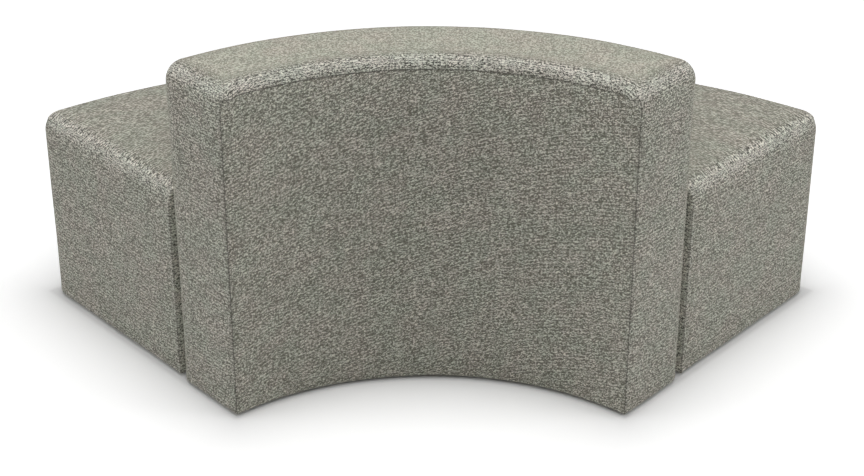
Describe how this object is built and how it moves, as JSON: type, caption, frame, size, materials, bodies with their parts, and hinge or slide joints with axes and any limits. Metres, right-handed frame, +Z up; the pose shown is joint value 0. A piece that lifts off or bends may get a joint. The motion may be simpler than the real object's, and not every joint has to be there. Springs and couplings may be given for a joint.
{
  "type": "curved upholstered banquette bench",
  "caption": "Curved banquette bench module with a full-height upholstered back on the inside of the arc and a fixed seat block on the outside.",
  "frame": {"origin": "on the floor, at the centre of the bench's footprint box", "axes": "+X along the width, to the right as seen from behind the back; +Y from the back's concave rear face towards the seat's front; +Z up"},
  "size_m": [1.766, 0.903, 0.762],
  "materials": {
    "bench_fabric": "coarse woven boucle, matt",
    "dust_cloth": "thin non-woven, matt",
    "foam": "open-cell polyurethane foam",
    "plywood": "raw sanded plywood",
    "glide_nylon": "moulded nylon",
    "bar_steel": "zinc plated, satin"
  },
  "bodies": {
    "root": {"back_base_plate": "plywood", "back_cover_front": "bench_fabric", "back_cover_rear": "bench_fabric", "back_cover_wrap": "bench_fabric", "back_dust_cloth": "dust_cloth", "back_end_board_left": "plywood", "back_end_board_right": "plywood", "back_foam_end_left": "foam", "back_foam_end_right": "foam", "back_foam_front": "foam", "back_foam_rear": "foam", "back_foam_top": "foam", "back_front_skin": "plywood", "back_glides": "glide_nylon", "back_middle_plate": "plywood", "back_rear_skin": "plywood", "back_rib_1": "plywood", "back_rib_2": "plywood", "back_rib_3": "plywood", "back_rib_4": "plywood", "back_rib_5": "plywood", "back_top_plate": "plywood", "joining_bars": "bar_steel", "seat_base_plate": "plywood", "seat_cover_boxing": "bench_fabric", "seat_cover_rear": "bench_fabric", "seat_cover_top": "bench_fabric", "seat_deck": "plywood", "seat_dust_cloth": "dust_cloth", "seat_end_board_left": "plywood", "seat_end_board_right": "plywood", "seat_foam_core": "foam", "seat_foam_end_left": "foam", "seat_foam_end_right": "foam", "seat_foam_front": "foam", "seat_foam_topper": "foam", "seat_front_skin": "plywood", "seat_glides": "glide_nylon", "seat_rear_skin": "plywood", "seat_rib_1": "plywood", "seat_rib_2": "plywood", "seat_rib_3": "plywood", "seat_rib_4": "plywood", "seat_rib_5": "plywood"}
  },
  "joints": []
}
